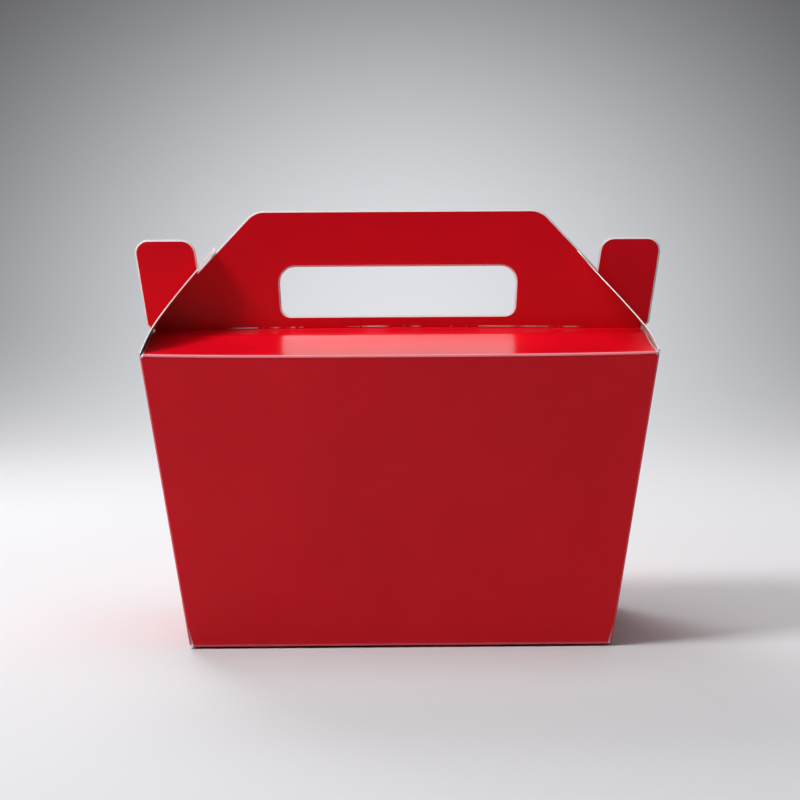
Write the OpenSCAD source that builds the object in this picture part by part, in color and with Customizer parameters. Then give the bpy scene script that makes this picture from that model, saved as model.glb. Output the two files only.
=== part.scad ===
// Gable cookie box: one die-cut sheet of coated board, folded into flared walls, a near-flat roof and a
// two-ply carrying handle with an ear at each end. The two side flaps swing on the creases along the
// tops of the end walls, and close over the roof with the ears standing through their slits.
// The origin is the middle of the underside, the front wall faces -Y, and the sizes are millimetres.

/* [Body] */
// Width across the top of the walls
top_w = 230; // [200:1:280]
// Depth across the top of the walls
top_d = 112; // [98:1:140]
// Width across the bottom
base_w = 190; // [165:1:225]
// Depth across the bottom
base_d = 94; // [84:1:110]
// Height of the walls
wall_h = 135; // [100:1:180]
// Thickness of the board
board = 0.5; // [0.35:0.05:0.7]

/* [Roof] */
// Height of the handle crease above the tops of the walls
roof_rise = 4; // [2.5:0.1:6]

/* [Handle] */
// Height of the handle above its crease
handle_h = 55; // [51:0.1:62]
// Width of the straight top, measured to where the shoulders would meet it
handle_top_w = 131.5; // [122:0.5:140]
// Steepness of the sloping shoulders, in degrees from level
shoulder_angle = 46.7; // [44:0.1:49]
// Corner radius between the top and a shoulder
handle_r = 11; // [4:0.5:16]
// Gap between the two plies of the handle
ply_gap = 0.3; // [0.2:0.05:0.5]

/* [Finger slot] */
// Width of the finger slot
grip_w = 109; // [80:0.5:118]
// Height of the finger slot
grip_h = 22.7; // [18:0.1:28]
// Height of the slot's lower edge above the crease
grip_z = 6.4; // [4:0.1:12]
// Radius of the slot's upper corners
grip_upper_r = 7; // [4:0.5:8]
// Radius of the slot's lower corners
grip_lower_r = 4.5; // [2:0.5:8]
// How far each end of the slot leans inwards from top to bottom
grip_lean = 1.2; // [0:0.1:3]

/* [Ears] */
// Width of an ear
ear_w = 28; // [24:0.5:32]
// Height of an ear above the handle crease
ear_h = 42; // [38:0.1:45]
// Radius of an ear's outer corner
ear_outer_r = 6; // [3:0.5:9]
// Radius of an ear's inner corner
ear_inner_r = 7; // [3:0.5:10]

/* [Side flaps] */
// Board left between the end of the slit and the free edge of a side flap
bridge = 2.4; // [2:0.1:5]
// Width of the tongue at the free edge
tongue_tip_w = 26; // [16:0.5:32]
// Width of the tongue where the sloping cuts end
tongue_root_w = 28; // [20:0.5:36]
// Height of the tongue, from the ends of the sloping cuts to the free edge
tongue_h = 7; // [6:0.5:12]
// Radius of the inside corner between a sloping cut and the tongue
tongue_r = 8; // [2:1:12]
// Radius of the tongue's two corners
tongue_tip_r = 3; // [1:0.5:4]
// Radius of the bend close to the hinge
bend_r = 38; // [30:1:60]
// Angle that the flap turns through in that bend
bend_angle = 18; // [12:1:24]
// Angle that the rest of the flap bows through
bow_angle = 4; // [2:1:10]

/* [Bottom] */
// Reach of the outer bottom flap, folded in from the front wall
outer_flap_reach = 53; // [48:1:60]
// Reach of the outer bottom flap at its full width, before it tapers
outer_flap_full_reach = 32; // [24:1:40]
// Width of the outer bottom flap's free edge
outer_flap_tip_w = 104; // [70:1:130]
// Reach of each end flap of the bottom
end_flap_reach = 38; // [28:1:42]
// Taper of an end flap at each side, from its fold to its free edge
end_flap_taper = 13; // [4:0.5:18]
// Reach of the inner bottom flap, folded in from the back wall
inner_flap_reach = 76; // [66:1:80]
// Radius of the bottom flaps' corners
bottom_r = 4; // [2:0.5:6]

/* [Clearances] */
// Running clearance at the hinges, around the ears and beside the shoulders
clearance = 0.3; // [0.2:0.05:0.4]
// Gap between the layers of the folded bottom
layer_gap = 0.1; // [0.05:0.05:0.2]

/* [Hidden] */
corner_steps = 6;
bend_steps = 6;
bow_steps = 8;
past = 20;
hinge = [top_w / 2, wall_h];
side_lean = (top_w - base_w) / 2 / wall_h;
front_lean = (top_d - base_d) / 2 / wall_h;
crease_z = wall_h + roof_rise;
handle_z = crease_z + handle_h;
ear_z = crease_z + ear_h;
two_ply = 2 * board + ply_gap;

// Half the width and half the depth of the flared walls at a height
function half_w(z) = base_w / 2 + side_lean * z;
function half_d(z) = base_d / 2 + front_lean * z;

function unit(v) = v / norm(v);
function heading(angle) = [cos(angle), sin(angle)];
function backwards(path) = [for (i = [len(path) - 1 : -1 : 0]) path[i]];

// The normal on the left of the line from a to b
function left_of(a, b) = let (along = unit(b - a)) [-along[1], along[0]];

// A path moved to its left by a distance, with mitred corners
function beside(path, distance) =
    let (last = len(path) - 1)
    [for (i = [0 : last])
        let (before = left_of(path[max(i - 1, 0)], path[max(i, 1)]))
        let (after = left_of(path[min(i, last - 1)], path[min(i + 1, last)]))
        path[i] + distance * (before + after) / (1 + before * after)];

// The arc that rounds corner b between its neighbours a and c
function corner_arc(a, b, c, r) =
    let (to_a = unit(a - b), to_c = unit(c - b), half = acos(to_a * to_c) / 2)
    let (centre = b + unit(to_a + to_c) * r / sin(half))
    let (first = b + to_a * r / tan(half) - centre, final = b + to_c * r / tan(half) - centre)
    let (start = atan2(first[1], first[0]), turn = atan2(final[1], final[0]) - start)
    let (sweep = turn > 180 ? turn - 360 : turn < -180 ? turn + 360 : turn)
    [for (i = [0 : corner_steps]) centre + r * heading(start + sweep * i / corner_steps)];

// An outline from corners given as [across, up, radius]
function rounded(corners) =
    let (count = len(corners), at = [for (c = corners) [c[0], c[1]]])
    [for (i = [0 : count - 1])
        let (before = at[(i + count - 1) % count], after = at[(i + 1) % count], r = corners[i][2])
        for (p = r > 0 ? corner_arc(before, at[i], after, r) : [at[i]]) p];

// Corners on the right of an outline, joined to their mirror image on the left
function mirrored(corners) = concat(corners, [for (c = backwards(corners)) [-c[0], c[1], c[2]]]);

// Board seen edge on: a path with the board's thickness on its left
module strip(path) {
    polygon(concat(path, backwards(beside(path, board))));
}

// A shape drawn in the front view, run front to back
module front_view(depth) {
    rotate([90, 0, 0]) linear_extrude(depth, center = true) children();
}

// A shape drawn in the side view, run from side to side
module side_view(width) {
    rotate([90, 0, 90]) linear_extrude(width, center = true) children();
}

// An ear: its edges lean as the end walls do, and its foot stands on the end of the handle crease
ear_foot = half_w(crease_z) - clearance;
ear_top = half_w(ear_z) - clearance;
shoulder_slope = tan(shoulder_angle);
shoulder_foot = handle_top_w / 2 + handle_h / shoulder_slope;
notch_up = (shoulder_foot - ear_foot + ear_w) / (side_lean + 1 / shoulder_slope);
notch_x = ear_foot - ear_w + side_lean * notch_up;
ear_outer_corner = [ear_top, ear_z];
ear_inner_corner = [ear_top - ear_w, ear_z];
notch = [notch_x, crease_z + notch_up];

// How far the ear reaches from the hinge of the flap that swings past it
ear_sweep = max([for (p = corner_arc(ear_outer_corner, ear_inner_corner, notch, ear_inner_r)) norm(p - hinge)]);
slit_reach = ear_sweep + clearance;
flap_len = slit_reach + bridge;

// Half the length of a side flap's hinge
flap_root = top_d / 2 - board - 1.5 * clearance;

// Front view of the walls, the roof, the handle and its ears
module sheet_outline() {
    polygon(rounded(mirrored([
        [half_w(0), 0, 0],
        [hinge[0], hinge[1], 0],
        [ear_foot, crease_z, 0],
        [ear_outer_corner[0], ear_outer_corner[1], ear_outer_r],
        [ear_inner_corner[0], ear_inner_corner[1], ear_inner_r],
        [notch[0], notch[1], 0],
        [handle_top_w / 2, handle_z, handle_r]
    ])));
}

module grip_outline() {
    polygon(rounded(mirrored([
        [grip_w / 2 - grip_lean, crease_z + grip_z, grip_lower_r],
        [grip_w / 2, crease_z + grip_z + grip_h, grip_upper_r]
    ])));
}

// The front of the sheet: a wall, a roof panel and one ply of the handle, in one strip of board
module front_sheet() {
    crease_y = -two_ply / 2;
    difference() {
        intersection() {
            side_view(top_w + past) {
                strip([
                    [crease_y, handle_z + past],
                    [crease_y, crease_z],
                    [-half_d(wall_h), wall_h],
                    [-half_d(-past), -past]
                ]);
            }
            front_view(top_d + past) sheet_outline();
        }
        front_view(past) grip_outline();
        roof_end_cuts();
    }
}

// Cuts that free the ends of a roof panel from the end walls and from the side flaps over them
module roof_end_cuts() {
    flap_inset = roof_rise / tan(hinge_heading) + board / sin(hinge_heading) + roof_rise * roof_rise / 2 / bend_r;
    cut_x = hinge[0] - flap_inset - clearance;
    cut_z = wall_h - 2 * board;
    cut_d = 2 * (flap_root + clearance);
    for (side = [-1, 1]) {
        translate([side * (cut_x + past / 2), 0, (cut_z + crease_z) / 2]) {
            cube([past, cut_d, crease_z - cut_z], center = true);
        }
    }
}

// Both end walls, cut level just below the hinges of the side flaps, with their edges inside the long walls
module end_walls() {
    top_z = wall_h - board;
    base_edge = half_d(0) - board / 2;
    top_edge = half_d(top_z) - board / 2;
    for (side = [0, 1]) {
        mirror([side, 0, 0]) {
            intersection() {
                front_view(top_d) strip([[half_w(0), 0], hinge]);
                side_view(top_w + past) {
                    polygon([[base_edge, 0], [top_edge, top_z], [-top_edge, top_z], [-base_edge, 0]]);
                }
            }
        }
    }
}

// A flap of the folded bottom, drawn from above, in one of the bottom's layers counted from below
module bottom_flap(layer, corners) {
    translate([0, 0, layer * (board + layer_gap)]) linear_extrude(board) polygon(rounded(corners));
}

// The bottom: a front flap outside, two end flaps above it and the back flap inside
module bottom() {
    side_gap = 2 * board;
    fold_y = half_d(0) - board / 2;
    fold_x = half_w(0) - board / 2;
    wide = half_w(0) - side_gap;
    bottom_flap(0, mirrored([
        [wide, -fold_y, 0],
        [wide - bottom_r, outer_flap_full_reach - base_d / 2, bottom_r],
        [outer_flap_tip_w / 2, outer_flap_reach - base_d / 2, bottom_r]
    ]));
    for (side = [-1, 1]) {
        bottom_flap(1, [
            [side * fold_x, side_gap - base_d / 2, 0],
            [side * (base_w / 2 - end_flap_reach), end_flap_taper - base_d / 2, bottom_r],
            [side * (base_w / 2 - end_flap_reach), base_d / 2 - end_flap_taper, bottom_r],
            [side * fold_x, base_d / 2 - side_gap, 0]
        ]);
    }
    bottom_flap(2, mirrored([
        [wide, fold_y, 0],
        [wide - bottom_r, base_d / 2 - inner_flap_reach, bottom_r]
    ]));
}

module carton() {
    color("firebrick") {
        front_sheet();
        mirror([0, 1, 0]) front_sheet();
        end_walls();
        bottom();
    }
}

// Side flap, seen from the front: its outer face leaves the hinge along a tight bend, then bows gently
// until the inner face of its free edge lies beside the handle's shoulder
bend_end = bend_r * [sin(bend_angle), 1 - cos(bend_angle)];
bow_heading = heading(bend_angle + bow_angle / 2);
bow_chord = sqrt(pow(bend_end * bow_heading, 2) - bend_end * bend_end + flap_len * flap_len) - bend_end * bow_heading;
bow_r = bow_chord / 2 / sin(bow_angle / 2);
flap_tip = bend_end + bow_chord * bow_heading;
shoulder_top = [handle_top_w / 2, handle_z] - hinge;
shoulder_offset = shoulder_top * [sin(shoulder_angle), cos(shoulder_angle)] + board + clearance;
chord_angle = shoulder_angle + asin(shoulder_offset / flap_len);
hinge_heading = chord_angle + atan2(flap_tip[1], flap_tip[0]);
tip_height = flap_len * sin(chord_angle);

// A point of the flap's outer face, from one given along and below the line that it leaves the hinge on
function on_flap(p) = hinge + [
    -p[0] * cos(hinge_heading) - p[1] * sin(hinge_heading),
    p[0] * sin(hinge_heading) - p[1] * cos(hinge_heading)
];

// The flap's outer face from the hinge to its free edge
function flap_path() = concat(
    [for (i = [0 : bend_steps])
        let (a = bend_angle * i / bend_steps)
        on_flap(bend_r * [sin(a), 1 - cos(a)])],
    [for (i = [1 : bow_steps])
        let (a = bend_angle + bow_angle * i / bow_steps)
        on_flap(bend_end + bow_r * [sin(a) - sin(bend_angle), cos(bend_angle) - cos(a)])]
);

// Side flap, seen from the end: the full depth at its hinge, two sloping cuts and a narrow tongue
module flap_outline() {
    tip_z = wall_h + tip_height;
    inside_r = min(tongue_r, 2 * (tongue_h - tongue_tip_r));
    polygon(rounded(mirrored([
        [flap_root, wall_h - board, 0],
        [flap_root, wall_h + board, 0],
        [tongue_root_w / 2, tip_z - tongue_h, inside_r],
        [tongue_tip_w / 2, tip_z + board / 2, tongue_tip_r]
    ])));
}

// A disc about the hinge, as thick as the slit that lets the ear through
module slit_disc(radius) {
    translate([hinge[0], 0, hinge[1]]) rotate([90, 0, 0]) {
        cylinder(r = radius, h = two_ply + 2 * clearance, center = true, $fn = 96);
    }
}

module side_flap() {
    root_strip = 2 * board + clearance;
    difference() {
        intersection() {
            front_view(top_d) strip(flap_path());
            side_view(top_w + past) flap_outline();
        }
        difference() {
            slit_disc(slit_reach);
            slit_disc(root_strip);
        }
    }
}

module side_flap_left() {
    color("crimson") mirror([1, 0, 0]) side_flap();
}

module side_flap_right() {
    color("crimson") side_flap();
}

carton();
side_flap_left();
side_flap_right();
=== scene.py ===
"""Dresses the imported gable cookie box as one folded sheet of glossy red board, on a pale studio sweep."""

import math

import bmesh
import bpy
from bpy.props import FloatProperty, FloatVectorProperty, PointerProperty
from mathutils import Matrix, Vector
from mathutils.geometry import delaunay_2d_cdt


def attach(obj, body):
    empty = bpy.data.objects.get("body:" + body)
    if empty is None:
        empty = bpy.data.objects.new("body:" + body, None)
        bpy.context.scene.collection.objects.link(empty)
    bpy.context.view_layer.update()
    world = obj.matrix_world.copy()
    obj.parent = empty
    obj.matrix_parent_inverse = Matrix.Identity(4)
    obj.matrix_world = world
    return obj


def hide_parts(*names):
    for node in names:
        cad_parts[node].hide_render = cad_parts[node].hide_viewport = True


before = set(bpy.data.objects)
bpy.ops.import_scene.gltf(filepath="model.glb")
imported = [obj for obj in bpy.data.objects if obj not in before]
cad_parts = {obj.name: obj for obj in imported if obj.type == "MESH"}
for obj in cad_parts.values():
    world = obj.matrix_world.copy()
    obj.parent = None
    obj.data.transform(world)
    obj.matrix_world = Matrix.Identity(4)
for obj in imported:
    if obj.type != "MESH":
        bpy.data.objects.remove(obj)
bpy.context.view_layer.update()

bl_info = {
    "name": "Gable cookie box",
    "version": (1, 0, 0),
    "blender": (4, 5, 0),
    "location": "View3D > Sidebar > Gable box",
    "description": "Builds the folded board, its two side flaps and a pale studio around the packed box",
    "category": "Object",
}

MM = 0.001

# Points of a flat pattern closer than this are one point, in millimetres
CLOSE = 0.002

# Limits that keep a sharp corner of an outline from moving too far when its edges move in
SHARPEST, SLIGHTEST_LEAN = 0.4, 0.3

# Spacing of the mesh on the box and on a side flap, in millimetres
BOX_SPACING, FLAP_SPACING = 7.0, 3.0

# How far the coat stops short of a cut edge on an end wall and on a side flap, in millimetres
END_NICK, FLAP_NICK = 0.06, 0.16

# How strongly the coat is painted paler over a fold, partly the stretched coat and partly a painted
# highlight where the rounded fold catches the light: the top folds, and the others
TOP_FOLD_PALE_AND_HIGHLIGHT, FOLD_PALE_AND_HIGHLIGHT = 1.0, 0.4

# Order of the materials on every piece
RED_COAT, CUT_EDGE, INSIDE = 0, 1, 2


def length(name, description, millimetres):
    """A size that the user can change, kept in metres."""
    return FloatProperty(name=name, description=description, default=millimetres * MM, min=0.0,
                         precision=5, unit="LENGTH", subtype="DISTANCE")


def tint(name, description, rgb):
    """A colour that the user can change, in linear light."""
    return FloatVectorProperty(name=name, description=description, default=rgb, size=3,
                               min=0.0, max=1.0, subtype="COLOR")


def amount(name, description, value, most=1.0):
    """A plain number that the user can change."""
    return FloatProperty(name=name, description=description, default=value, min=0.0, max=most,
                         subtype="FACTOR" if most == 1.0 else "NONE")


class BoxSizes(bpy.types.PropertyGroup):
    """Sizes of the folded sheet"""
    top_w: length("Top width", "Width across the tops of the walls", 230)
    top_d: length("Top depth", "Depth across the tops of the walls", 112)
    base_w: length("Base width", "Width across the bottom", 190)
    base_d: length("Base depth", "Depth across the bottom", 94)
    wall_h: length("Wall height", "Height of the walls", 135)
    board: length("Board", "Thickness of the board", 0.5)
    roof_rise: length("Roof rise", "Height of the handle crease above the walls", 4)
    handle_h: length("Handle height", "Height of the handle above its crease", 55)
    handle_top_w: length("Handle top width", "Straight top, measured to where the shoulders meet it", 131.5)
    handle_r: length("Handle corner", "Radius between the handle's top and a shoulder", 11)
    ply_gap: length("Ply gap", "Gap between the two plies of the handle", 0.3)
    grip_w: length("Slot width", "Width of the finger slot", 109)
    grip_h: length("Slot height", "Height of the finger slot", 22.7)
    grip_z: length("Slot foot", "Height of the slot's lower edge above the crease", 6.4)
    grip_upper_r: length("Slot upper corner", "Radius of the slot's upper corners", 7)
    grip_lower_r: length("Slot lower corner", "Radius of the slot's lower corners", 4.5)
    grip_lean: length("Slot lean", "How far each end of the slot leans in at the bottom", 1.2)
    ear_w: length("Ear width", "Width of an ear", 28)
    ear_h: length("Ear height", "Height of an ear above the crease", 42)
    ear_outer_r: length("Ear outer corner", "Radius of an ear's outer corner", 6)
    ear_inner_r: length("Ear inner corner", "Radius of an ear's inner corner", 7)
    bridge: length("Flap bridge", "Board between the slit and the free edge of a side flap", 2.4)
    tongue_tip_w: length("Tongue width", "Width of a side flap's tongue at its free edge", 26)
    tongue_root_w: length("Tongue root width", "Width of the tongue where the sloping cuts end", 28)
    tongue_h: length("Tongue height", "Height of the tongue", 7)
    tongue_r: length("Tongue inside corner", "Radius between a sloping cut and the tongue", 8)
    tongue_tip_r: length("Tongue corner", "Radius of the tongue's two corners", 3)
    clearance: length("Clearance", "Room at the hinges and around the ears", 0.3)
    wall_bow: length("Wall bow", "How far the long walls bow outwards", 0.9)
    fold_r: length("Fold radius", "Outer radius of the folds", 0.9)
    bottom_lift: length("Bottom lift", "How far the bottom folds stand clear of the floor", 0.95)
    edge_band: length("Edge band", "Width of the white band where the knife left the coat's edge open", 0.8)
    fold_sag: length("Fold sag", "How far the middle of the top folds hangs below their ends", 0.9)
    crease_rise: length("Crease rise", "How far the middle of the handle crease stands above its ends", 0.8)
    hinge_bead: length("Hinge bead", "Radius of the ridge that a side flap's crease leaves", 0.4)
    shoulder_angle: FloatProperty(name="Shoulder angle", description="Steepness of the sloping shoulders",
                                  default=math.radians(46.7), subtype="ANGLE")
    bend_angle: FloatProperty(name="Flap bend", description="Turn of a side flap close to its hinge",
                              default=math.radians(18), subtype="ANGLE")
    bow_angle: FloatProperty(name="Flap bow", description="Turn of the rest of a side flap",
                             default=math.radians(4), subtype="ANGLE")
    bend_r: length("Flap bend radius", "Radius of the bend close to the hinge", 38)


class BoxColours(bpy.types.PropertyGroup):
    """Colours of the board and of the studio"""
    red: tint("Red coat", "Printed red under the varnish", (0.77, 0.003, 0.014))
    red_deep: tint("Deep red", "Darker clouds in the printed red", (0.70, 0.0025, 0.012))
    # Paler red over the folds: partly the stretched coat, partly a painted highlight of the rounded fold
    red_fold: tint("Fold red", "Paler red where the coat is stretched over a fold", (0.93, 0.26, 0.31))
    # Painted shade: a darker red line just below the top fold, standing in for the shade under the rounded
    # fold
    red_crease: tint("Crease red", "Darker red where the crease is pressed in", (0.30, 0.0, 0.003))
    core: tint("Board core", "White fibres of the cut edges and cracked folds", (0.93, 0.91, 0.90))
    inside: tint("Inside", "Uncoated inner face of the board", (0.80, 0.785, 0.76))
    floor: tint("Floor", "Studio floor around the box", (0.63, 0.63, 0.645))
    # Painted light: the backdrop emits a glow in place of a lamp's pool of light, falling off to painted
    # shade at its edges and full white wherever the varnish mirrors it
    sweep_light: tint("Sweep glow", "Brightest part of the backdrop", (0.755, 0.765, 0.80))
    sweep_mirrored: tint("Mirrored sweep", "Backdrop as the varnish mirrors it", (1.0, 1.0, 1.0))
    sweep_dark: tint("Sweep edge", "Darkest part of the backdrop", (0.03, 0.03, 0.034))
    gloss_rough: amount("Varnish roughness", "How far the varnish blurs what it mirrors", 0.2)


# Outlines and fold paths, in millimetres


def unit(v):
    return v / v.length


def heading_vector(a):
    return Vector((math.cos(a), math.sin(a)))


def corner_arc(before, at, after, r, steps=7):
    """Points of the arc that rounds one corner of an outline."""
    if r <= 0:
        return [at]
    to_before, to_after = unit(before - at), unit(after - at)
    half = to_before.angle(to_after) / 2
    centre = at + unit(to_before + to_after) * r / math.sin(half)
    first = at + to_before * r / math.tan(half) - centre
    last = at + to_after * r / math.tan(half) - centre
    start = math.atan2(first.y, first.x)
    turn = (math.atan2(last.y, last.x) - start + math.pi) % (2 * math.pi) - math.pi
    return [centre + r * heading_vector(start + turn * i / steps) for i in range(steps + 1)]


def rounded(corners):
    """An outline from corners given as (across, up, radius)."""
    at = [Vector(c[:2]) for c in corners]
    count = len(corners)
    return [p for i in range(count)
            for p in corner_arc(at[i - 1], at[i], at[(i + 1) % count], corners[i][2])]


def mirrored(corners):
    """Corners on the right, then their mirror image on the left."""
    return list(corners) + [(-c[0],) + tuple(c[1:]) for c in reversed(corners)]


class FoldPath:
    """The line that the outer face of a folded sheet follows, seen edge on.

    knots are (distance along the sheet, heading in radians), and the heading turns evenly between them.
    The outer side of the board is on the left of the line."""

    STEP = 0.05

    def __init__(self, start, knots):
        self.knots = knots
        self.points = [Vector(start)]
        count = int(math.ceil(knots[-1][0] / self.STEP))
        for i in range(count):
            ahead = heading_vector(self.heading((i + 0.5) * self.STEP))
            self.points.append(self.points[-1] + self.STEP * ahead)

    def heading(self, v):
        knots = self.knots
        if v <= knots[0][0]:
            return knots[0][1]
        for (v0, h0), (v1, h1) in zip(knots, knots[1:]):
            if v <= v1:
                return h0 + (h1 - h0) * (v - v0) / (v1 - v0)
        return knots[-1][1]

    def at(self, v):
        """Where the line is at a distance along the sheet."""
        if v <= 0:
            return self.points[0] + v * heading_vector(self.knots[0][1])
        i = int(v / self.STEP)
        if i >= len(self.points) - 1:
            past = v - (len(self.points) - 1) * self.STEP
            return self.points[-1] + past * heading_vector(self.knots[-1][1])
        return self.points[i].lerp(self.points[i + 1], v / self.STEP - i)


class SheetMesh:
    """Gathers pieces of folded board in one mesh: a coated outer face, an inner face and cut edges."""

    def __init__(self, board):
        self.board = board
        self.bm = bmesh.new()
        self.normal = self.bm.verts.layers.float_vector.new("sheet_normal")
        self.fold = self.bm.verts.layers.float.new("fold")
        self.crack = self.bm.verts.layers.float.new("crack")

    def vertex(self, point, normal, marks=(0.0, 0.0)):
        v = self.bm.verts.new(point * MM)
        v[self.normal] = normal
        v[self.fold], v[self.crack] = marks
        return v

    def face(self, corners, material):
        f = self.bm.faces.new(corners)
        f.material_index = material
        f.smooth = True
        return f

    def panel(self, surface, outline, holes, rows, spacing, marks_at, nick, seams=None):
        """Meshes one flat pattern, folded by surface(u, v), with its thickness and its cut edges.

        rows are distances where the board starts or stops to turn. marks_at(u, v) gives the fold and crack
        marks. nick is how far the coat stops short of a cut edge. seams(a, b) is true for an edge of the
        outline that another panel carries on from."""
        loops = [split_at(loop, rows) for loop in [outline] + [list(h) for h in holes]]
        points, edges, rings = [], [], []
        for loop in loops:
            first = len(points)
            points += loop
            rings.append(range(first, len(points)))
            edges += [(first + i, first + (i + 1) % len(loop)) for i in range(len(loop))]
        tie_rows(points, edges, rows, spacing)
        points += field_points(loops, rows, spacing)
        flat, _, triangles, origins, _, _ = delaunay_2d_cdt(points, edges, [], 0, CLOSE / 4)
        place = {s: new for new, sources in enumerate(origins) for s in sources}
        triangles = [t for t in triangles if keeps(t, flat, loops)]
        outer, inner = {}, {}
        cuts = [[not (seams and seams(a, b)) for a, b in zip(loop, loop[1:] + loop[:1])] for loop in loops]
        for loop, ring, cut in zip(loops, rings, cuts):
            for i, index in enumerate(ring):
                p, marks = loop[i], marks_at(loop[i].x, loop[i].y)
                shift = edge_shift(loop, cut, i)
                point, normal = surface(p.x + shift.x * nick, p.y + shift.y * nick)
                outer[place[index]] = self.vertex(point, normal, marks)
                point, normal = surface(p.x, p.y)
                inner[place[index]] = self.vertex(point - normal * self.board, -normal, marks)
        for i in {i for t in triangles for i in t}:
            if i not in outer:
                point, normal = surface(flat[i].x, flat[i].y)
                marks = marks_at(flat[i].x, flat[i].y)
                outer[i] = self.vertex(point, normal, marks)
                inner[i] = self.vertex(point - normal * self.board, -normal, marks)
        for a, b, c in triangles:
            self.face((outer[a], outer[c], outer[b]), RED_COAT)
            self.face((inner[a], inner[b], inner[c]), INSIDE)
        for loop, ring, cut in zip(loops, rings, cuts):
            self.cut_edge(surface, loop, [place[index] for index in ring], cut, outer, inner, nick)

    def cut_edge(self, surface, loop, ring, cut, outer, inner, nick):
        """The white edge of one outline: a slope from the coat down to a lip, then the upright cut."""
        lip = {}
        for i, p in enumerate(loop):
            if cut[i - 1] or cut[i]:
                point, normal = surface(p.x, p.y)
                lip[i] = self.vertex(point - normal * min(nick, self.board) * 0.8, normal)
        for i, a in enumerate(ring):
            if cut[i]:
                j = (i + 1) % len(ring)
                b = ring[j]
                self.face((outer[a], outer[b], lip[j], lip[i]), CUT_EDGE)
                self.face((lip[i], lip[j], inner[b], inner[a]), CUT_EDGE)

    def finish(self, name, materials):
        """Joins the seams and makes the object, shaded by the normals of the folded sheet."""
        bm = self.bm
        bmesh.ops.remove_doubles(bm, verts=bm.verts, dist=4e-6)
        bmesh.ops.recalc_face_normals(bm, faces=bm.faces)
        mesh = bpy.data.meshes.new(name)
        bm.normal_update()
        normals = []
        for f in bm.faces:
            for loop in f.loops:
                n = Vector(loop.vert[self.normal])
                if f.material_index == CUT_EDGE or n.dot(f.normal) < 0.2:
                    n = f.normal
                normals.append(n.normalized())
        bm.to_mesh(mesh)
        bm.free()
        mesh.normals_split_custom_set([tuple(n) for n in normals])
        for m in materials:
            mesh.materials.append(m)
        obj = bpy.data.objects.new(name, mesh)
        bpy.context.scene.collection.objects.link(obj)
        return obj


def split_at(outline, rows):
    """The outline with a point wherever one of its edges crosses a row."""
    made = []
    for i, a in enumerate(outline):
        b = outline[(i + 1) % len(outline)]
        made.append(a)
        low, high = min(a.y, b.y), max(a.y, b.y)
        crossed = sorted((r for r in rows if low + CLOSE < r < high - CLOSE), reverse=a.y > b.y)
        made += [Vector((a.x + (b.x - a.x) * (r - a.y) / (b.y - a.y), r)) for r in crossed]
    return made


def tie_rows(points, edges, rows, spacing):
    """Adds points and edges along each row, between the places where it crosses the outlines."""
    on_loops = len(points)
    for r in rows:
        ends = sorted((p.x, i) for i, p in enumerate(points[:on_loops]) if abs(p.y - r) < CLOSE)
        for (xa, a), (xb, b) in zip(ends[::2], ends[1::2]):
            count = max(1, round((xb - xa) / spacing))
            last = a
            for k in range(1, count):
                points.append(Vector((xa + (xb - xa) * k / count, r)))
                edges.append((last, len(points) - 1))
                last = len(points) - 1
            edges.append((last, b))


def field_points(loops, rows, spacing):
    """Points spread over the board between the rows, clear of its edges."""
    outline, holes = loops[0], loops[1:]
    keep_off = min(spacing * 0.3, 2.0)
    low = Vector((min(p.x for p in outline), min(p.y for p in outline)))
    high = Vector((max(p.x for p in outline), max(p.y for p in outline)))
    across = max(2, round((high.x - low.x) / spacing))
    stops = sorted(set([low.y, high.y] + list(rows)))
    made = []
    for v0, v1 in zip(stops, stops[1:]):
        if v1 - v0 < spacing * 0.6:
            continue
        count = max(2, round((v1 - v0) / spacing))
        for j in range(1, count):
            for i in range(1, across):
                p = Vector((low.x + (high.x - low.x) * i / across, v0 + (v1 - v0) * j / count))
                on_board = inside(p, outline) and not any(inside(p, h) for h in holes)
                if on_board and min(edge_distance(p, loop) for loop in loops) > keep_off:
                    made.append(p)
    return made


def inside(p, loop):
    """True if a point is inside a closed outline."""
    within = False
    for a, b in zip(loop, loop[1:] + loop[:1]):
        if (a.y > p.y) != (b.y > p.y) and p.x < a.x + (b.x - a.x) * (p.y - a.y) / (b.y - a.y):
            within = not within
    return within


def edge_distance(p, loop):
    """Distance from a point to the nearest edge of an outline."""
    nearest = 1e9
    for a, b in zip(loop, loop[1:] + loop[:1]):
        along = b - a
        t = max(0.0, min(1.0, (p - a).dot(along) / max(along.length_squared, 1e-12)))
        nearest = min(nearest, (a + along * t - p).length)
    return nearest


def keeps(triangle, flat, loops):
    """True if a triangle lies on the board and not in a hole or past the outline."""
    middle = (flat[triangle[0]] + flat[triangle[1]] + flat[triangle[2]]) / 3
    return inside(middle, loops[0]) and not any(inside(middle, h) for h in loops[1:])


def inward(a, b):
    """The direction into the board at an edge of an outline that runs with the board on its left."""
    along = unit(b - a)
    return Vector((-along.y, along.x))


def edge_shift(loop, cut, i):
    """How a point of an outline moves when the cut edges beside it move into the board by one unit."""
    before, at, after = loop[i - 1], loop[i], loop[(i + 1) % len(loop)]
    if cut[i - 1] and cut[i]:
        a, b = inward(before, at), inward(at, after)
        return (a + b) / max(SHARPEST, 1 + a.dot(b))
    if not cut[i - 1] and not cut[i]:
        return Vector((0.0, 0.0))
    into = inward(before, at) if cut[i - 1] else inward(at, after)
    along = unit(before - at) if cut[i] else unit(after - at)
    lean = along.dot(into)
    return along / max(SHARPEST, lean) if lean > SLIGHTEST_LEAN else into


def turned(place, u, p, q):
    """A point of one of the four walls' own planes in the box's frame."""
    if place == "front":
        return Vector((u, p, q))
    if place == "back":
        return Vector((-u, -p, q))
    if place == "left":
        return Vector((p, -u, q))
    return Vector((-p, u, q))


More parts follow.
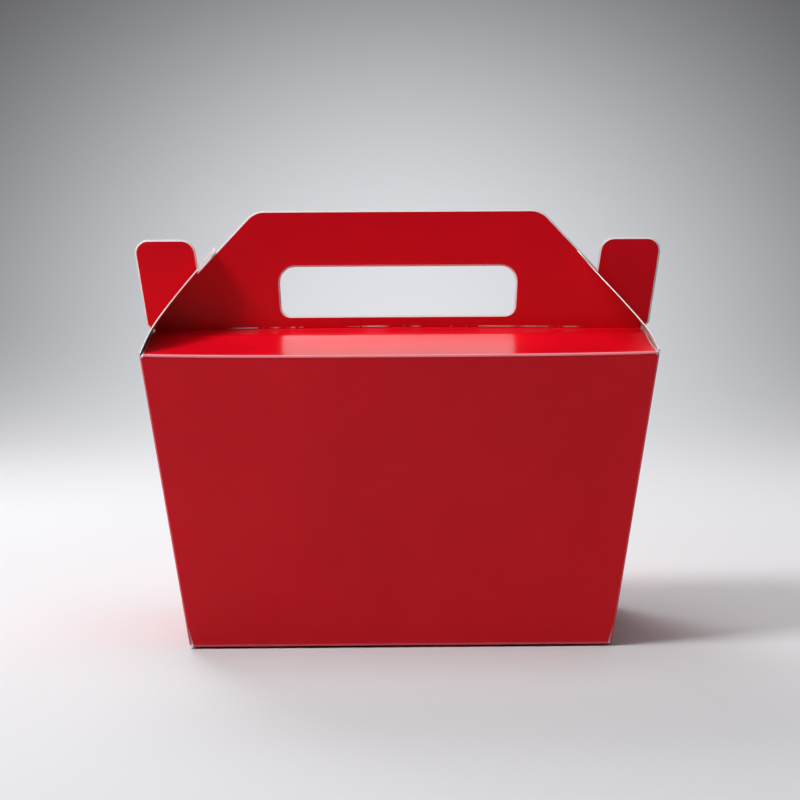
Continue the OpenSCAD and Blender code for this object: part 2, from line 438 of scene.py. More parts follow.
def folded_surface(path, place, lift=None):
    """The outer face of a sheet folded along a path: a function of distance across and distance along."""
    def point(u, v):
        line = path.at(v)
        p, q = line.x, line.y
        if lift:
            dp, dq = lift(u, v, p, q)
            p, q = p + dp, q + dq
        return turned(place, u, p, q)

    def surface(u, v):
        h = 0.02
        du = point(u + h, v) - point(u - h, v)
        dv = point(u, v + h) - point(u, v - h)
        return point(u, v), unit(du.cross(dv))

    return surface


class Plan:
    """The box's sizes in millimetres, and what follows from them."""

    def __init__(self, sizes):
        for key in BoxSizes.__annotations__:
            value = getattr(sizes, key)
            setattr(self, key, value if key.endswith("_angle") else value / MM)
        self.side_lean = (self.top_w - self.base_w) / 2 / self.wall_h
        self.front_lean = (self.top_d - self.base_d) / 2 / self.wall_h
        self.crease_z = self.wall_h + self.roof_rise
        self.two_ply = 2 * self.board + self.ply_gap
        self.hinge_x = self.top_w / 2
        ear_z = self.crease_z + self.ear_h
        self.ear_foot = self.half_w(self.crease_z) - self.clearance
        self.ear_top = self.half_w(ear_z) - self.clearance
        slope = math.tan(self.shoulder_angle)
        shoulder_foot = self.handle_top_w / 2 + self.handle_h / slope
        up = (shoulder_foot - self.ear_foot + self.ear_w) / (self.side_lean + 1 / slope)
        self.notch = (self.ear_foot - self.ear_w + self.side_lean * up, self.crease_z + up)
        hinge = Vector((self.hinge_x, self.wall_h))
        arc = corner_arc(Vector((self.ear_top, ear_z)), Vector((self.ear_top - self.ear_w, ear_z)),
                         Vector(self.notch), self.ear_inner_r)
        self.slit_reach = max((p - hinge).length for p in arc) + self.clearance
        self.flap_len = self.slit_reach + self.bridge
        bend_end = self.bend_r * Vector((math.sin(self.bend_angle), 1 - math.cos(self.bend_angle)))
        way = heading_vector(self.bend_angle + self.bow_angle / 2)
        along = bend_end.dot(way)
        chord = math.sqrt(along * along - bend_end.length_squared + self.flap_len ** 2) - along
        self.bow_r = chord / 2 / math.sin(self.bow_angle / 2)
        tip = bend_end + chord * way
        top = Vector((self.handle_top_w / 2, self.crease_z + self.handle_h)) - hinge
        offset = top.dot(Vector((math.sin(self.shoulder_angle), math.cos(self.shoulder_angle))))
        offset += self.board + self.clearance
        chord_angle = self.shoulder_angle + math.asin(offset / self.flap_len)
        self.flap_heading = chord_angle + math.atan2(tip.y, tip.x)
        self.flap_root = self.top_d / 2 - self.board - 1.5 * self.clearance
        self.tip_height = self.flap_len * math.sin(chord_angle)

    def half_w(self, z):
        return self.base_w / 2 + self.side_lean * z

    def half_d(self, z):
        return self.base_d / 2 + self.front_lean * z


def fold_rows(start, stop, steps):
    """Rows across a fold, with one close by on each side where the crease mark fades out."""
    return [start - 0.5] + [start + (stop - start) * i / steps for i in range(steps + 1)] + [stop + 0.5]


# Distance over which a bottom flap climbs to its fold, in millimetres
BOTTOM_SLOPE_RUN = 14.0

# How steeply the roof climbs, in degrees, at distances from the handle crease in millimetres
ROOF_SLOPES = (
    (0.0, 0.3), (14.0, 0.3), (17.5, 9.8), (20.0, 8.7),
    (30.0, 5.75), (40.0, 4.2), (48.0, 3.2), (56.0, 2.5),
)

# How far the bottom flaps reach in from their folds, in millimetres
BOTTOM_REACH = {"front": 53.0, "back": 76.0, "end": 38.0}

# Radius of the crease between the roof and the handle, in millimetres
CREASE_R = 0.45

# The bead that the creasing rule leaves: distance above the crease in millimetres, and tilt in radians
CREASE_BEAD = ((0.05, 0.0), (0.3, 0.3), (0.6, -0.3), (0.85, 0.0))


def roof_slope(distance):
    for (d0, s0), (d1, s1) in zip(ROOF_SLOPES, ROOF_SLOPES[1:]):
        if distance <= d1:
            return math.radians(s0 + (s1 - s0) * (distance - d0) / (d1 - d0))
    return math.radians(ROOF_SLOPES[-1][1])


def bottom_knots(fold_start, rise):
    """Headings of a bottom flap that lies flat and climbs a little before its fold."""
    climb, ease = fold_start - BOTTOM_SLOPE_RUN, 2.0
    return [
        (0.0, math.pi),
        (climb - ease, math.pi),
        (climb + ease, math.pi - rise),
        (fold_start, math.pi - rise),
    ]


def path_on_wall(knots, wall_start, half_size, flap_z):
    """The fold path, moved sideways until its wall stands on the box's own sloping side."""
    p, z = FoldPath((0.0, flap_z), knots).at(wall_start)
    return FoldPath((-half_size(z) - p, flap_z), knots)


def folded_foot(plan, flap_reach, flap_z, side_lean, half_size):
    """Knots, rows and marks of a bottom flap and its fold, and the length of the wall above them."""
    r = plan.fold_r
    lean = math.pi / 2 + math.atan(side_lean)
    rise = plan.bottom_lift / BOTTOM_SLOPE_RUN
    turn = math.pi - rise - lean
    tangent = r * math.tan(turn / 2)
    foot_z = flap_z + plan.bottom_lift
    wall = math.hypot(plan.wall_h - foot_z, half_size(plan.wall_h) - half_size(foot_z))
    v = flap_reach - tangent
    knots = bottom_knots(v, rise)
    rows = [k[0] for k in knots[1:3]] + fold_rows(v, v + r * turn, 6)
    knots.append((v + r * turn, lean))
    return knots, rows, {"flap_end": v, "wall_start": v + r * turn}, wall - tangent


def long_wall_path(plan, flap_reach, flap_z):
    """Edge-on line of a long wall: bottom flap, fold, wall, fold, roof panel, crease and handle ply."""
    knots, rows, marks, wall = folded_foot(plan, flap_reach, flap_z, plan.front_lean, plan.half_d)
    r, lean = plan.fold_r, knots[-1][1]
    crease_p = plan.two_ply / 2 + CREASE_R
    roof_run = plan.top_d / 2 - crease_p
    steps = 56
    slope = roof_slope(plan.top_d / 2 - plan.two_ply / 2)
    top_turn = lean - slope
    top_tangent = r * math.tan(top_turn / 2)
    v = marks["wall_start"] + (wall - top_tangent)
    knots.append((v, lean))
    marks["wall_end"] = v
    rows += [v - 1.0] + fold_rows(v, v + r * top_turn, 7)
    v += r * top_turn
    knots.append((v, slope))
    marks["roof_start"] = v
    run = roof_run - top_tangent
    for i in range(1, steps + 1):
        d = crease_p - plan.two_ply / 2 + run * (1 - i / steps)
        a = roof_slope(d)
        v += run / steps / math.cos(a)
        knots.append((v, a))
        if i % 3 == 0 and i < steps - 2:
            rows.append(v)
    marks["crease_start"] = v
    turn = math.pi / 2 - knots[-1][1]
    rows += fold_rows(v, v + CREASE_R * turn, 6)
    v += CREASE_R * turn
    knots.append((v, math.pi / 2))
    marks["ply_start"] = v
    for along, tilt in CREASE_BEAD:
        knots.append((v + along, math.pi / 2 + tilt))
        rows.append(v + along)
    rows = sorted(set(rows))
    knots.append((v + plan.handle_h + 5, math.pi / 2))
    return path_on_wall(knots, marks["wall_start"], plan.half_d, flap_z), rows, marks


def end_wall_path(plan, flap_reach, flap_z):
    """Edge-on line of an end wall: bottom flap, fold and wall, up to the hinge of the side flap."""
    knots, rows, marks, wall = folded_foot(plan, flap_reach, flap_z, plan.side_lean, plan.half_w)
    marks["wall_end"] = marks["wall_start"] + wall
    knots.append((marks["wall_end"], knots[-1][1]))
    return path_on_wall(knots, marks["wall_start"], plan.half_w, flap_z), rows, marks


def seam_heights(plan):
    """Heights at which the walls and the rounded corners between them share points."""
    low, high, count = 3.4, plan.wall_h - 1.4, 19
    return [low + (high - low) * i / count for i in range(count + 1)]


def distance_at_height(path, z, start, stop):
    """Distance along a path at which a straight wall reaches a height."""
    a, b = path.at(start).y, path.at(stop).y
    return start + (stop - start) * (z - a) / (b - a)


def build_carton(plan, materials):
    sheet = SheetMesh(plan.board)
    heights = seam_heights(plan)
    layer = plan.board + 0.1
    for place, flap_z in (("front", 0.0), ("back", 2 * layer)):
        long_wall(sheet, plan, place, BOTTOM_REACH[place], flap_z, heights)
    for place in ("left", "right"):
        end_wall(sheet, plan, place, BOTTOM_REACH["end"], layer, heights)
    for corner in range(4):
        wall_corner(sheet, plan, corner, [plan.bottom_lift + plan.fold_r] + heights)
    for side in (-1, 1):
        hinge_ridge(sheet, plan, side)
    return sheet.finish("folded_carton", materials)


# Cracked coat along the handle crease: from and to a distance across in millimetres, and how strong
CREASE_CRACKS = ((-76.0, -36.0, 1.0), (-20.0, -4.0, 0.9), (3.0, 82.0, 0.55))


def long_wall(sheet, plan, place, reach, flap_z, heights):
    path, rows, marks = long_wall_path(plan, reach, flap_z)
    seam_rows = [distance_at_height(path, z, marks["wall_start"], marks["wall_end"]) for z in heights]
    rows = sorted(set(rows + seam_rows))
    r = plan.fold_r
    wide = plan.half_w(0) - 2 * plan.board
    low, high = marks["wall_start"], marks["wall_end"]
    at_low = plan.half_w(path.at(low).y) - r
    at_high = plan.half_w(path.at(high).y) - r
    ply = marks["ply_start"]
    ply_z = path.at(ply).y
    roof_inset = plan.roof_rise / math.tan(plan.flap_heading) + plan.board / math.sin(plan.flap_heading)
    roof_end = plan.hinge_x - roof_inset - plan.roof_rise ** 2 / 2 / plan.bend_r - plan.clearance
    if place == "front":
        flap = [(52.0, 0.0, 4), (wide - 4, reach - 32, 4), (wide, marks["flap_end"], 0)]
    else:
        flap = [(wide - 4, 0.0, 4), (wide, marks["flap_end"], 0)]

    def up(z):
        return ply + z - ply_z

    ear_z = up(plan.crease_z + plan.ear_h)
    right = flap + [
        (at_low, low, 0),
        (at_high, high, 0),
        (at_high, marks["roof_start"] + 0.1, 0),
        (roof_end, marks["crease_start"], 0),
        (roof_end, ply - 0.05, 0),
        (plan.ear_foot - 1.8, ply + 0.05, 0),
        (plan.ear_foot + plan.side_lean * 2.5, ply + 2.5, 0),
        (plan.ear_top, ear_z, plan.ear_outer_r),
        (plan.ear_top - plan.ear_w, ear_z, plan.ear_inner_r),
        (plan.notch[0], up(plan.notch[1]), 0),
        (plan.handle_top_w / 2, up(plan.crease_z + plan.handle_h), plan.handle_r),
    ]
    outline = rounded(mirrored(right))
    foot, head = up(plan.crease_z + plan.grip_z), up(plan.crease_z + plan.grip_z + plan.grip_h)
    slot = rounded(mirrored([
        (plan.grip_w / 2 - plan.grip_lean, foot, plan.grip_lower_r),
        (plan.grip_w / 2, head, plan.grip_upper_r),
    ]))
    slot.reverse()

    def bow(u, v, p, q):
        aside = max(-1.0, min(1.0, u / plan.half_w(min(q, plan.wall_h))))
        across, level = math.cos(math.pi / 2 * aside) ** 2, 1 - aside ** 4
        if v <= low:
            return 0.0, 0.0
        if v <= high:
            t = (v - low) / (high - low)
            sag = max(0.0, (t - 0.55) / 0.45) ** 2
            belly = math.sin(math.pi / 2 * min(1.0, t * 1.25)) ** 2 * (1 - 0.35 * t * t)
            return -plan.wall_bow * across * belly, -plan.fold_sag * level * sag
        distance = -p - plan.two_ply / 2
        fade = max(0.0, min(1.0, distance / (plan.top_d / 2 - plan.two_ply / 2)))
        fade = fade * fade * (3 - 2 * fade)
        rise = math.exp(-(distance / 6) ** 2) if v <= ply else max(0.0, 1 - max(0.0, v - ply - 1.1) / 6)
        ripple = math.sin(u / 17.0 + 0.6) * 0.6 + math.sin(u / 9.5 + 2.0) * 0.4
        edge = math.exp(-((distance - 16.0) / 7.0) ** 2)
        up_by = plan.crease_rise * across * rise + 0.05 * ripple * edge * across
        return -plan.wall_bow * 0.65 * across * fade, -plan.fold_sag * level * fade + up_by

    def seam(a, b):
        beside_corner = abs(abs(a.x) - at_low) < plan.top_w / 7
        on_line = beside_corner and low + CLOSE < (a.y + b.y) / 2 < high - CLOSE
        within = seam_rows[0] - CLOSE <= min(a.y, b.y) and max(a.y, b.y) <= seam_rows[-1] + CLOSE
        return on_line and within

    def marks_at(u, v):
        # The top fold carries the strongest pale mark, a painted highlight over the stretched coat
        if high - CLOSE <= v <= marks["roof_start"] + CLOSE:
            fold = TOP_FOLD_PALE_AND_HIGHLIGHT
        # Just below the top fold a negative mark paints a line of shade
        elif high - 0.9 < v < high - CLOSE:
            fold = -1.0
        else:
            fold = FOLD_PALE_AND_HIGHLIGHT if marks["flap_end"] - CLOSE <= v <= low + CLOSE else 0.0
        crack = max([strength for start, stop, strength in CREASE_CRACKS if start < u < stop], default=0.0)
        return fold, crack if ply + 0.2 < v < ply + 0.7 else 0.0

    surface = folded_surface(path, place, bow)
    sheet.panel(surface, outline, [slot], rows, BOX_SPACING, marks_at, plan.edge_band, seam)


def end_wall(sheet, plan, place, reach, flap_z, heights):
    path, rows, marks = end_wall_path(plan, reach, flap_z)
    seam_rows = [distance_at_height(path, z, marks["wall_start"], marks["wall_end"]) for z in heights]
    low, high = marks["wall_start"], marks["wall_end"] - plan.clearance
    rows = sorted(set(rows + seam_rows))
    r = plan.fold_r
    at_low = plan.half_d(path.at(low).y) - r
    at_high = plan.half_d(path.at(high).y) - r
    fold_half = plan.base_d / 2 - 2 * plan.board
    right = [
        (plan.base_d / 2 - 13, 0.0, 4),
        (fold_half, marks["flap_end"], 0),
        (at_low, low, 0),
        (at_high, high, 0),
    ]
    outline = rounded(mirrored(right))

    def bow(u, v, p, q):
        if v <= low:
            return 0.0, 0.0
        across = math.cos(math.pi / 2 * max(-1.0, min(1.0, u / plan.half_d(q)))) ** 2
        t = min(1.0, (v - low) / (high - low))
        return -0.5 * plan.wall_bow * across * math.sin(math.pi * t) ** 2, 0.0

    def seam(a, b):
        within = seam_rows[0] - CLOSE <= min(a.y, b.y) and max(a.y, b.y) <= seam_rows[-1] + CLOSE
        return within and abs(a.y - b.y) > CLOSE and low < (a.y + b.y) / 2 < high

    def marks_at(u, v):
        return FOLD_PALE_AND_HIGHLIGHT if marks["flap_end"] - CLOSE <= v <= low + CLOSE else 0.0, 0.0

    surface = folded_surface(path, place, bow)
    sheet.panel(surface, outline, (), rows, BOX_SPACING, marks_at, END_NICK, seam)


def hinge_ridge(sheet, plan, side):
    """The small red ridge along the crease that a side flap swings on."""
    r, steps = plan.hinge_bead, 10
    angles = [2 * math.pi * i / steps for i in range(steps)]
    normals = [Vector((math.cos(a), 0.0, math.sin(a))) for a in angles]
    ends = []
    for y in (-plan.flap_root, plan.flap_root):
        centre = Vector((side * plan.hinge_x, y, plan.wall_h))
        ends.append([sheet.vertex(centre + n * r, n, (FOLD_PALE_AND_HIGHLIGHT, 0.0)) for n in normals])
    for i in range(steps):
        j = (i + 1) % steps
        sheet.face((ends[0][i], ends[0][j], ends[1][j], ends[1][i]), RED_COAT)
    for ring in ends:
        sheet.face(ring, CUT_EDGE)


def wall_corner(sheet, plan, corner, heights):
    """The rounded upright fold between a long wall and an end wall."""
    side, way = ((-1, -1), (1, -1), (1, 1), (-1, 1))[corner]
    r, steps = plan.fold_r, 7
    front_n = unit(Vector((0, -1, -plan.front_lean)))
    side_n = unit(Vector((-1, 0, -plan.side_lean)))
    rings = []
    for z in heights:
        ring = []
        for i in range(steps + 1):
            a = math.pi / 2 * i / steps
            x = -(plan.half_w(z) - r) - r * math.sin(a)
            y = -(plan.half_d(z) - r) - r * math.cos(a)
            n = unit(front_n * math.cos(a) + side_n * math.sin(a))
            mark = (FOLD_PALE_AND_HIGHLIGHT if 0 < i < steps else 0.0, 0.0)
            flip = Vector((-side, -way, 1))
            point = Vector((x, y, z))
            outer = Vector(c * f for c, f in zip(point, flip))
            normal = Vector(c * f for c, f in zip(n, flip))
            ring.append((sheet.vertex(outer, normal, mark),
                         sheet.vertex(outer - normal * sheet.board, -normal, mark)))
        rings.append(ring)
    turn = side * way > 0
    for low, high in zip(rings, rings[1:]):
        for i in range(steps):
            quad = [low[i], low[i + 1], high[i + 1], high[i]]
            if turn:
                quad.reverse()
            sheet.face([v[0] for v in quad], RED_COAT)
            sheet.face([v[1] for v in reversed(quad)], INSIDE)
    for ring, top in ((rings[0], False), (rings[-1], True)):
        for i in range(steps):
            quad = [ring[i][0], ring[i][1], ring[i + 1][1], ring[i + 1][0]]
            if top == turn:
                quad.reverse()
            sheet.face(quad, CUT_EDGE)


# How steeply each side flap climbs, in degrees, at distances from its hinge in millimetres
FLAP_BENDS = {
    "left": ((0.0, 70.3), (6.0, 65.5), (16.5, 52.5), (37.0, 48.0), (61.0, 50.5)),
    "right": ((0.0, 69.0), (4.0, 68.0), (12.0, 49.5), (34.0, 46.0), (61.0, 53.0)),
}


def build_flap(plan, place, materials):
    total = plan.bend_r * plan.bend_angle + plan.bow_r * plan.bow_angle
    knots = [(v, math.radians(a)) for v, a in FLAP_BENDS[place]]
    path = FoldPath((-plan.hinge_x, plan.wall_h), knots)

    def along(z):
        """Distance along the flap at which it reaches a height."""
        a, b = 0.0, total
        for _ in range(40):
            middle = (a + b) / 2
            a, b = (middle, b) if path.at(middle).y < z else (a, middle)
        return (a + b) / 2

    tip_z = plan.wall_h + plan.tip_height
    shoulder_v = along(tip_z - plan.tongue_h)
    inside_r = min(plan.tongue_r, 2 * (plan.tongue_h - plan.tongue_tip_r))
    root, root_end, slit_start = 0.32, 1.0, 1.5
    right = [
        (plan.flap_root, root, 0),
        (plan.flap_root, root_end, 0),
        (plan.tongue_root_w / 2, shoulder_v, inside_r),
        (plan.tongue_tip_w / 2, total, plan.tongue_tip_r),
    ]
    outline = rounded(mirrored(right))
    slit_half = plan.two_ply / 2 + plan.clearance
    slit_end = min(along(tip_z), total) - plan.bridge
    slit = [
        Vector((-slit_half, slit_start)),
        Vector((-slit_half, slit_end)),
        Vector((slit_half, slit_end)),
        Vector((slit_half, slit_start)),
    ]
    rows = [root + 0.5, root_end]
    bend_rows = (4.0 + 2.5 * i for i in range(40))
    rows += [v for v in bend_rows if v < slit_end - 1.2]

    def marks_at(u, v):
        return FOLD_PALE_AND_HIGHLIGHT if v < 0.5 else 0.0, 0.0

    sheet = SheetMesh(plan.board)
    sheet.panel(folded_surface(path, place), outline, [slit], rows, FLAP_SPACING, marks_at, FLAP_NICK)
    return sheet.finish("tuck_flap_" + place, materials)


# Materials


def new_material(name):
    material = bpy.data.materials.new(name)
    material.use_nodes = True
    tree = material.node_tree
    tree.nodes.clear()
    output = tree.nodes.new("ShaderNodeOutputMaterial")
    output.location = (900, 0)
    return material, tree, output


def node(tree, kind, location, **values):
    """A node with its properties and its inputs' values set by name."""
    made = tree.nodes.new(kind)
    made.location = location
    for key, value in values.items():
        if hasattr(made, key):
            setattr(made, key, value)
        else:
            made.inputs[key.replace("_", " ")].default_value = value
    return made


def wire(source, out, target, into):
    """Links an output of one node to an input of another."""
    source.id_data.links.new(source.outputs[out], target.inputs[into])


def opaque(colour):
    return tuple(colour) + (1.0,)


# Places of a colour mix's own sockets, which share their names with hidden ones
BASE_SOCKET, TONE_SOCKET, MIXED_SOCKET = 6, 7, 2


def tone_mix(tree, location, factor, base, tone):
    """A mix of a base with one fixed tone. factor and base are pairs of a node and its output."""
    mix = node(tree, "ShaderNodeMix", location, data_type="RGBA")
    wire(*factor, mix, "Factor")
    wire(*base, mix, BASE_SOCKET)
    mix.inputs[TONE_SOCKET].default_value = opaque(tone)
    return mix


def board_grain_group():
    """Fine tooth and slow clouds of the board, shared by all its faces."""
    group = bpy.data.node_groups.new("board_grain", "ShaderNodeTree")
    for name in ("Tooth size", "Cloud size"):
        group.interface.new_socket(name, in_out="INPUT", socket_type="NodeSocketFloat")
    for name in ("Tooth", "Cloud"):
        group.interface.new_socket(name, in_out="OUTPUT", socket_type="NodeSocketFloat")
    entry = node(group, "NodeGroupInput", (-700, 0))
    leave = node(group, "NodeGroupOutput", (300, 0))
    place = node(group, "ShaderNodeTexCoord", (-700, -200))
    tooth = node(group, "ShaderNodeTexNoise", (-400, 100), Detail=3.0, Roughness=0.6)
    cloud = node(group, "ShaderNodeTexNoise", (-400, -200), Detail=4.0, Roughness=0.55)
    for noise, size in ((tooth, "Tooth size"), (cloud, "Cloud size")):
        wire(place, "Object", noise, "Vector")
        wire(entry, size, noise, "Scale")
    wire(tooth, "Fac", leave, "Tooth")
    wire(cloud, "Fac", leave, "Cloud")
    return group


def red_coat_material(colours, grain):
    material, tree, output = new_material("red_gloss_board")
    shader = node(tree, "ShaderNodeBsdfPrincipled", (600, 0), Roughness=colours.gloss_rough, IOR=1.25)
    wire(shader, "BSDF", output, "Surface")
    body = node(tree, "ShaderNodeGroup", (-700, 0), node_tree=grain, Tooth_size=1100.0, Cloud_size=14.0)
    shade = node(tree, "ShaderNodeValToRGB", (-400, 200))
    for stop, position, colour in ((0, 0.35, colours.red_deep), (1, 0.65, colours.red)):
        shade.color_ramp.elements[stop].position = position
        shade.color_ramp.elements[stop].color = opaque(colour)
    wire(body, "Cloud", shade, "Fac")
    place = node(tree, "ShaderNodeTexCoord", (-1100, -500))
    fold = node(tree, "ShaderNodeAttribute", (-700, -150), attribute_name="fold")
    # A negative fold mark paints a dark line of shade just below the top fold
    painted_shade_amount = node(tree, "ShaderNodeMath", (-450, -150), operation="MULTIPLY", use_clamp=True)
    painted_shade_amount.inputs[1].default_value = -0.6
    wire(fold, "Fac", painted_shade_amount, 0)
    darkened = tone_mix(tree, (-300, 100), (painted_shade_amount, "Value"), (shade, "Color"), colours.red_crease)
    # Painted highlight, partly the paler stretched coat, wherever the fold mark is positive
    stretched_and_highlit = tone_mix(tree, (-50, 100), (fold, "Fac"), (darkened, MIXED_SOCKET), colours.red_fold)
    crack = node(tree, "ShaderNodeAttribute", (-700, -300), attribute_name="crack")
    along = node(tree, "ShaderNodeMapping", (-900, -500), Scale=(1.0, 0.15, 0.15))
    wire(place, "Object", along, "Vector")
    breaks = node(tree, "ShaderNodeTexNoise", (-700, -500), Scale=75.0, Detail=4.0, Roughness=0.65)
    wire(along, "Vector", breaks, "Vector")
    few = node(tree, "ShaderNodeMapRange", (-450, -500), From_Min=0.44, From_Max=0.54, To_Max=1.0)
    wire(breaks, "Fac", few, "Value")
    worn = node(tree, "ShaderNodeMath", (-200, -400), operation="MULTIPLY")
    wire(crack, "Fac", worn, 0)
    wire(few, "Result", worn, 1)
    coat = tone_mix(tree, (200, 100), (worn, "Value"), (stretched_and_highlit, MIXED_SOCKET), colours.core)
    wire(coat, MIXED_SOCKET, shader, "Base Color")
    bump = node(tree, "ShaderNodeBump", (300, -300), Strength=0.06, Distance=0.0002)
    wire(body, "Tooth", bump, "Height")
    wire(bump, "Normal", shader, "Normal")
    return material


def bare_board_material(name, colour, grain, rough, tooth):
    material, tree, output = new_material(name)
    shader = node(tree, "ShaderNodeBsdfPrincipled", (600, 0), Roughness=rough, IOR=1.45)
    wire(shader, "BSDF", output, "Surface")
    body = node(tree, "ShaderNodeGroup", (-500, 0), node_tree=grain, Tooth_size=tooth, Cloud_size=40.0)
    shade = node(tree, "ShaderNodeValToRGB", (-200, 100))
    shade.color_ramp.elements[0].color = opaque(c * 0.9 for c in colour)
    shade.color_ramp.elements[1].color = opaque(min(1.0, c * 1.04) for c in colour)
    wire(body, "Cloud", shade, "Fac")
    wire(shade, "Color", shader, "Base Color")
    bump = node(tree, "ShaderNodeBump", (300, -300), Strength=0.3, Distance=0.0001)
    wire(body, "Tooth", bump, "Height")
    wire(bump, "Normal", shader, "Normal")
    return material


def board_materials(context):
    """The three finishes of the board, made once."""
    if "red_gloss_board" in bpy.data.materials:
        return [bpy.data.materials[n] for n in ("red_gloss_board", "cut_board_edge", "bare_board_inside")]
    colours = context.scene.gable_box_colours
    grain = board_grain_group()
    return [
        red_coat_material(colours, grain),
        bare_board_material("cut_board_edge", colours.core, grain, 0.8, 2600.0),
        bare_board_material("bare_board_inside", colours.inside, grain, 0.75, 1500.0),
    ]


# Middle of the painted glow that the backdrop emits in place of a pool of light, across and up, and how far
# it reaches, in metres
GLOW_MIDDLE = (0.015, 0.04)
GLOW_REACH = (0.34, 0.262)

# Where the lit floor fades into the glowing backdrop, in metres behind the box's middle
FADE_START, FADE_END = 0.25, 0.8


def sweep_material(colours):
    material, tree, output = new_material("studio_sweep")
    place = node(tree, "ShaderNodeTexCoord", (-1300, 0))
    split = node(tree, "ShaderNodeSeparateXYZ", (-1100, 0))
    wire(place, "Object", split, "Vector")
    floor = node(tree, "ShaderNodeBsdfDiffuse", (300, 200), Color=opaque(colours.floor))
    across, up = GLOW_REACH
    glow = node(tree, "ShaderNodeMapping", (-1100, -300), Scale=(1 / across, 0.0, 1 / up),
                Location=(-GLOW_MIDDLE[0] / across, 0.0, -GLOW_MIDDLE[1] / up))
    wire(place, "Object", glow, "Vector")
    squared = node(tree, "ShaderNodeVectorMath", (-900, -300), operation="DOT_PRODUCT")
    wire(glow, "Vector", squared, 0)
    wire(glow, "Vector", squared, 1)
    falling = node(tree, "ShaderNodeMath", (-700, -300), operation="POWER")
    falling.inputs[0].default_value = math.exp(-1)
    wire(squared, "Value", falling, 1)
    # Painted pool of light: the backdrop's emitted colour runs from the painted shade at its edges to the
    # glow in its middle
    ramp = node(tree, "ShaderNodeMix", (-450, -300), data_type="RGBA")
    wire(falling, "Value", ramp, "Factor")
    ramp.inputs[BASE_SOCKET].default_value = opaque(colours.sweep_dark)
    ramp.inputs[TONE_SOCKET].default_value = opaque(colours.sweep_light)
    rays = node(tree, "ShaderNodeLightPath", (-700, 500))
    # Painted reflection: glossy rays see the backdrop glowing full white
    tone = tone_mix(tree, (0, -200), (rays, "Is Glossy Ray"), (ramp, MIXED_SOCKET), colours.sweep_mirrored)
    light = node(tree, "ShaderNodeEmission", (300, -200), Strength=1.0)
    wire(tone, MIXED_SOCKET, light, "Color")
    seen = node(tree, "ShaderNodeMath", (-400, 500), operation="MAXIMUM")
    wire(rays, "Is Camera Ray", seen, 0)
    wire(rays, "Is Glossy Ray", seen, 1)
    back = node(tree, "ShaderNodeMapRange", (-400, 250), interpolation_type="SMOOTHSTEP",
                From_Min=FADE_START, From_Max=FADE_END)
    wire(split, "Y", back, "Value")
    fade = node(tree, "ShaderNodeMath", (-100, 350), operation="MULTIPLY")
    wire(seen, "Value", fade, 0)
    wire(back, "Result", fade, 1)
    mix = node(tree, "ShaderNodeMixShader", (600, 0))
    wire(fade, "Value", mix, "Fac")
    wire(floor, "BSDF", mix, 1)
    wire(light, "Emission", mix, 2)
    facing = node(tree, "ShaderNodeNewGeometry", (600, 300))
    clear = node(tree, "ShaderNodeBsdfTransparent", (600, -200))
    one_sided = node(tree, "ShaderNodeMixShader", (750, 0))
    wire(facing, "Backfacing", one_sided, "Fac")
    wire(mix, "Shader", one_sided, 1)
    wire(clear, "BSDF", one_sided, 2)
    wire(one_sided, "Shader", output, "Surface")
    return material


# Studio


def studio_sweep(material):
    """A floor that curves up into a backdrop, seen only from the box's side of it."""
    bm = bmesh.new()
    bend, radius, top, steps = 0.5, 0.7, 3.0, 24
    profile = [(-2.6, 0.0), (-0.8, 0.0), (0.0, 0.0), (bend, 0.0)]
    for i in range(1, steps + 1):
        a = math.pi / 2 * i / steps
        profile.append((bend + radius * math.sin(a), radius * (1 - math.cos(a))))
    profile.append((bend + radius, top))
    columns = [-3.0, -1.0, 0.0, 1.0, 3.0]
    rows = [[bm.verts.new((x, y, z)) for x in columns] for y, z in profile]
    for a, b in zip(rows, rows[1:]):
        for i in range(len(columns) - 1):
            bm.faces.new((a[i], a[i + 1], b[i + 1], b[i])).smooth = True
    mesh = bpy.data.meshes.new("studio_sweep")
    bm.to_mesh(mesh)
    bm.free()
    mesh.materials.append(material)
    sweep = bpy.data.objects.new("studio_sweep", mesh)
    bpy.context.scene.collection.objects.link(sweep)
    return sweep


# Softboxes: name, place, the point they face, size in metres, and power in watts
SOFTBOXES = (
    ("key_softbox", (-0.84, -0.39, 1.31), (0.0, 0.0, 0.12), (0.5, 0.5), 17.0),
    ("top_softbox", (0.0, 0.0, 1.8), (0.0, 0.0, 0.12), (1.4, 1.4), 13.5),
    ("back_softbox", (-0.4, 1.1, 0.9), (0.0, 0.0, 0.1), (0.8, 0.5), 14.0),
)


def softbox(name, place, aim, size, power):
    lamp = bpy.data.lights.new(name, "AREA")
    lamp.shape = "RECTANGLE"
    lamp.size, lamp.size_y = size
    lamp.energy = power
    obj = bpy.data.objects.new(name, lamp)
    obj.location = place
    obj.rotation_mode = "QUATERNION"
    obj.rotation_quaternion = (Vector(aim) - Vector(place)).to_track_quat("-Z", "Y")
    obj.visible_camera = False
    bpy.context.scene.collection.objects.link(obj)
    return obj


# The photograph's camera: place and aim in metres, roll in degrees, focal length and width in pixels
CAMERA_PLACE, CAMERA_AIM = Vector((-0.0163, -1.2873, 0.2863)), Vector((0.0007, 0.0, 0.10615))
CAMERA_ROLL = -0.272
FOCAL_PIXELS, WIDTH_PIXELS = 2813.0, 800.0


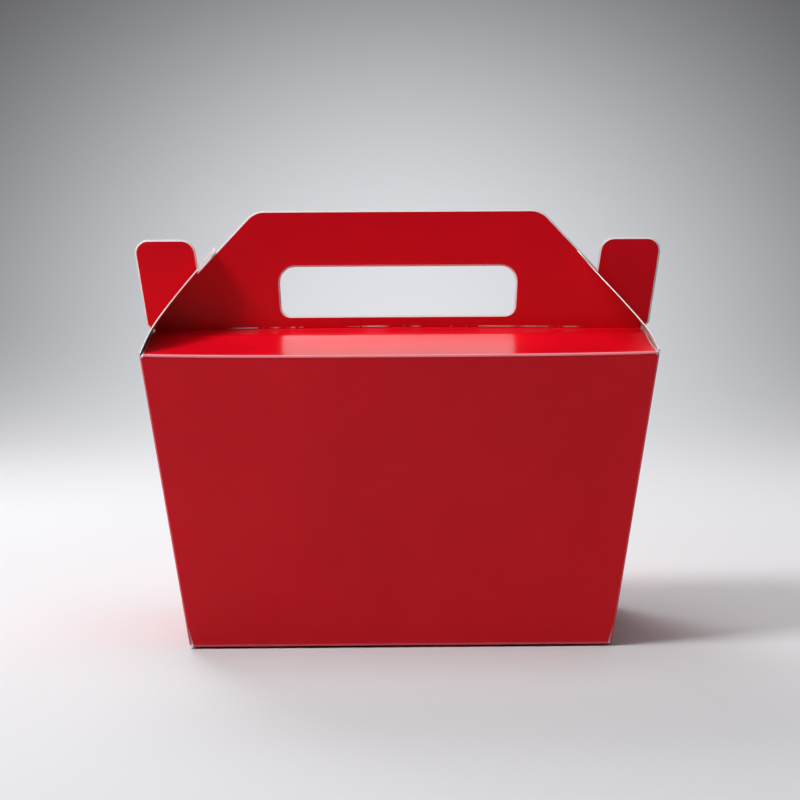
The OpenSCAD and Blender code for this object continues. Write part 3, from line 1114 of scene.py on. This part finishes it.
def photo_camera():
    """The camera at the photograph's place and angle."""
    data = bpy.data.cameras.new("camera")
    data.sensor_width = 36.0
    data.lens = FOCAL_PIXELS / WIDTH_PIXELS * data.sensor_width
    data.clip_start, data.clip_end = 0.05, 30.0
    camera = bpy.data.objects.new("camera", data)
    camera.location = CAMERA_PLACE
    look = (CAMERA_AIM - CAMERA_PLACE).to_track_quat("-Z", "Y").to_matrix()
    roll = Matrix.Rotation(math.radians(CAMERA_ROLL), 3, "Z")
    camera.rotation_mode = "QUATERNION"
    camera.rotation_quaternion = (look @ roll).to_quaternion()
    bpy.context.scene.collection.objects.link(camera)
    bpy.context.scene.camera = camera


class GABLEBOX_OT_carton(bpy.types.Operator):
    """Builds the folded box with its roof, handle plies, ears and bottom"""
    bl_idname = "gablebox.carton"
    bl_label = "Folded carton"

    def execute(self, context):
        plan = Plan(context.scene.gable_box_sizes)
        piece = build_carton(plan, board_materials(context))
        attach(piece, "box")
        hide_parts("carton")
        return {"FINISHED"}


class GABLEBOX_OT_flaps(bpy.types.Operator):
    """Builds the two side flaps that the ears stand through"""
    bl_idname = "gablebox.flaps"
    bl_label = "Side flaps"

    def execute(self, context):
        plan = Plan(context.scene.gable_box_sizes)
        for place in ("left", "right"):
            piece = build_flap(plan, place, board_materials(context))
            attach(piece, place + "_flap")
            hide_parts("side_flap_" + place)
        return {"FINISHED"}


class GABLEBOX_OT_studio(bpy.types.Operator):
    """Sets up the pale sweep, the softboxes and the camera"""
    bl_idname = "gablebox.studio"
    bl_label = "Studio"

    def execute(self, context):
        scene = context.scene
        scene.view_settings.view_transform = "Standard"
        studio_sweep(sweep_material(scene.gable_box_colours))
        for settings in SOFTBOXES:
            softbox(*settings)
        world = bpy.data.worlds.new("studio_air")
        world.use_nodes = True
        air = world.node_tree.nodes["Background"]
        air.inputs["Color"].default_value = (0.9, 0.92, 1.0, 1.0)
        air.inputs["Strength"].default_value = 0.03
        scene.world = world
        photo_camera()
        return {"FINISHED"}


class GABLEBOX_PT_panel(bpy.types.Panel):
    """Lists the box's pieces, sizes and colours"""
    bl_label = "Gable box"
    bl_idname = "GABLEBOX_PT_panel"
    bl_space_type = "VIEW_3D"
    bl_region_type = "UI"
    bl_category = "Gable box"

    def draw(self, context):
        layout = self.layout
        for operator in PIECES:
            layout.operator(operator.bl_idname)
        for group in (context.scene.gable_box_sizes, context.scene.gable_box_colours):
            for key in type(group).__annotations__:
                layout.prop(group, key)


PIECES = (GABLEBOX_OT_carton, GABLEBOX_OT_flaps, GABLEBOX_OT_studio)
CLASSES = (BoxSizes, BoxColours) + PIECES + (GABLEBOX_PT_panel,)


def register():
    for cls in CLASSES:
        bpy.utils.register_class(cls)
    bpy.types.Scene.gable_box_sizes = PointerProperty(type=BoxSizes)
    bpy.types.Scene.gable_box_colours = PointerProperty(type=BoxColours)


def unregister():
    del bpy.types.Scene.gable_box_colours
    del bpy.types.Scene.gable_box_sizes
    for cls in reversed(CLASSES):
        bpy.utils.unregister_class(cls)


def main():
    register()
    bpy.ops.gablebox.studio()
    bpy.ops.gablebox.carton()
    bpy.ops.gablebox.flaps()


if __name__ == "__main__":
    main()
